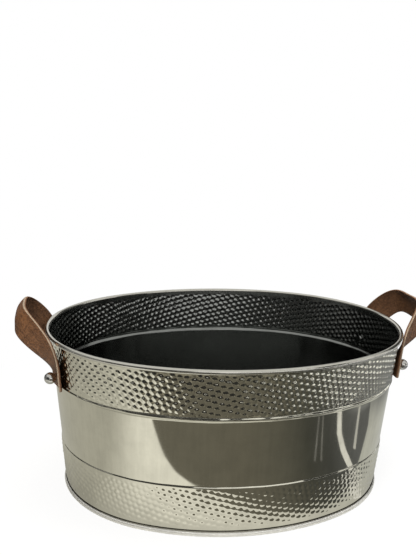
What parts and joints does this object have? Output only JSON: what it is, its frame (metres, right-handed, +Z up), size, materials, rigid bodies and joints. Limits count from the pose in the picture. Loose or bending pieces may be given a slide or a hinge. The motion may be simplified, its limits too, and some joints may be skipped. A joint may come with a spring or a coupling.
{
  "type": "oval drinks tub",
  "caption": "Oval polished-steel tub with a wired rim, hammered upper and lower bands, a hooped foot and a looped leather strap handle on ball studs at each end, for chilling drinks on ice.",
  "frame": {"origin": "on the ground, under the middle of the tub", "axes": "+Z up, +X along the long axis towards the right handle as seen in the picture, +Y away from the viewer"},
  "size_m": [0.5626, 0.4158, 0.2528],
  "materials": {
    "polished_steel": "polished, with hammered bands",
    "plain_steel": "satin",
    "brown_leather": "grained face, dark back and pale raw edges"
  },
  "bodies": {
    "tub": {"tub_wall": "polished_steel", "rim_wire": "plain_steel", "floor_pan": "plain_steel", "foot_hoop": "polished_steel", "left_strap_front_end": "brown_leather", "left_strap_rear_end": "brown_leather", "right_strap_front_end": "brown_leather", "right_strap_rear_end": "brown_leather", "left_front_ball_stud": "polished_steel", "left_rear_ball_stud": "polished_steel", "right_front_ball_stud": "polished_steel", "right_rear_ball_stud": "polished_steel", "left_front_washer": "plain_steel", "left_rear_washer": "plain_steel", "right_front_washer": "plain_steel", "right_rear_washer": "plain_steel", "left_front_back_screw": "polished_steel", "left_rear_back_screw": "polished_steel", "right_front_back_screw": "polished_steel", "right_rear_back_screw": "polished_steel"},
    "left_handle": {"left_strap_loop": "brown_leather"},
    "right_handle": {"right_strap_loop": "brown_leather"}
  },
  "joints": [
    {"name": "left_handle_flex", "type": "hinge", "parent": "tub", "child": "left_handle", "pos_m": [-0.23753, 0, 0.19517], "axis": [0, -1, 0], "range_deg": [-20, 70]},
    {"name": "right_handle_flex", "type": "hinge", "parent": "tub", "child": "right_handle", "pos_m": [0.23753, 0, 0.19517], "axis": [0, 1, 0], "range_deg": [-20, 70]}
  ]
}
